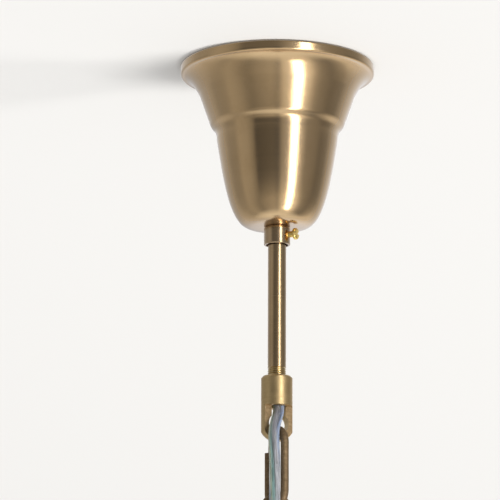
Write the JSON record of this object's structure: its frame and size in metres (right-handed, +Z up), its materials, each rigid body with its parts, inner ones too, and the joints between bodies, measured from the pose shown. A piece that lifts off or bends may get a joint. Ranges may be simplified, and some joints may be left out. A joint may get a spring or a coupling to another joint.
{
  "type": "pendant lamp ceiling suspension",
  "caption": "Ceiling suspension of a rise and fall pendant: spun brass cup on a sliding clamp collar, threaded stem, loop, chain and clear flex down to a threaded lower loop.",
  "frame": {"origin": "middle of the bracket's fixing slots, on the ceiling plane", "axes": "+Z up into the ceiling, everything hangs below; +X to the right along the bracket's feet; -Y towards the viewer"},
  "size_m": [0.1068, 0.1068, 0.3578],
  "materials": {
    "satin_brass": "satin",
    "dark_brass": "antique satin",
    "raw_brass": "machined",
    "polished_brass": "polished",
    "bronzed_brass": "bronzed",
    "zinc_steel": "zinc plated",
    "white_plastic": "moulded",
    "nylon": "moulded",
    "clear_sheath": "clear, glossy",
    "brown_core": "glossy",
    "blue_core": "glossy",
    "green_core": "glossy"
  },
  "bodies": {
    "fixing": {"ceiling_bracket": "zinc_steel", "lock_nut_upper": "raw_brass", "lock_nut_lower": "raw_brass", "lock_washer": "zinc_steel", "earth_screw": "polished_brass", "earth_nut": "zinc_steel", "earth_tag": "zinc_steel", "terminal_block": "white_plastic", "terminal_inserts": "raw_brass", "terminal_screws": "zinc_steel", "block_screws": "zinc_steel", "stem_bush": "nylon", "core_live": "brown_core", "core_neutral": "blue_core", "core_earth": "green_core", "stem_tube": "dark_brass", "flex_stem": "clear_sheath", "suspension_loop": "raw_brass", "flex_drop_1": "clear_sheath"},
    "collar": {"canopy_collar": "dark_brass"},
    "canopy": {"canopy_cup": "satin_brass"},
    "screw": {"clamp_screw": "polished_brass"},
    "link_1": {"chain_link_1": "bronzed_brass", "flex_drop_2": "clear_sheath"},
    "link_2": {"chain_link_2": "bronzed_brass", "flex_drop_3": "clear_sheath"},
    "link_3": {"chain_link_3": "bronzed_brass", "flex_drop_4": "clear_sheath"},
    "lower_end": {"lower_loop": "raw_brass", "lower_nipple": "raw_brass", "flex_tail": "clear_sheath"}
  },
  "joints": [
    {"name": "collar_slide", "type": "slide", "parent": "fixing", "child": "collar", "axis": [0, 0, 1], "range_m": [-0.07, 0]},
    {"name": "canopy_turn", "type": "hinge", "parent": "collar", "child": "canopy", "pos_m": [0, 0, -0.0911], "axis": [0, 0, 1], "continuous": true},
    {"name": "clamp_screw_turn", "type": "hinge", "parent": "collar", "child": "screw", "pos_m": [0, 0, -0.09565], "axis": [0.9063, -0.4226, 0], "continuous": true},
    {"name": "link_1_swing", "type": "hinge", "parent": "fixing", "child": "link_1", "pos_m": [0, 0, -0.2106], "axis": [0.866, 0.5, 0], "range_deg": [-25, 25], "deforming": ["flex_drop_1"]},
    {"name": "link_2_swing", "type": "hinge", "parent": "link_1", "child": "link_2", "pos_m": [0, 0, -0.2458], "axis": [-0.5, 0.866, 0], "range_deg": [-35, 35], "deforming": ["flex_drop_2"]},
    {"name": "link_3_swing", "type": "hinge", "parent": "link_2", "child": "link_3", "pos_m": [0, 0, -0.2831], "axis": [0.866, 0.5, 0], "range_deg": [-35, 35], "deforming": ["flex_drop_3"]},
    {"name": "lower_loop_swing", "type": "hinge", "parent": "link_3", "child": "lower_end", "pos_m": [0, 0, -0.3136], "axis": [0.866, 0.5, 0], "range_deg": [-25, 25], "deforming": ["flex_drop_4"]}
  ]
}
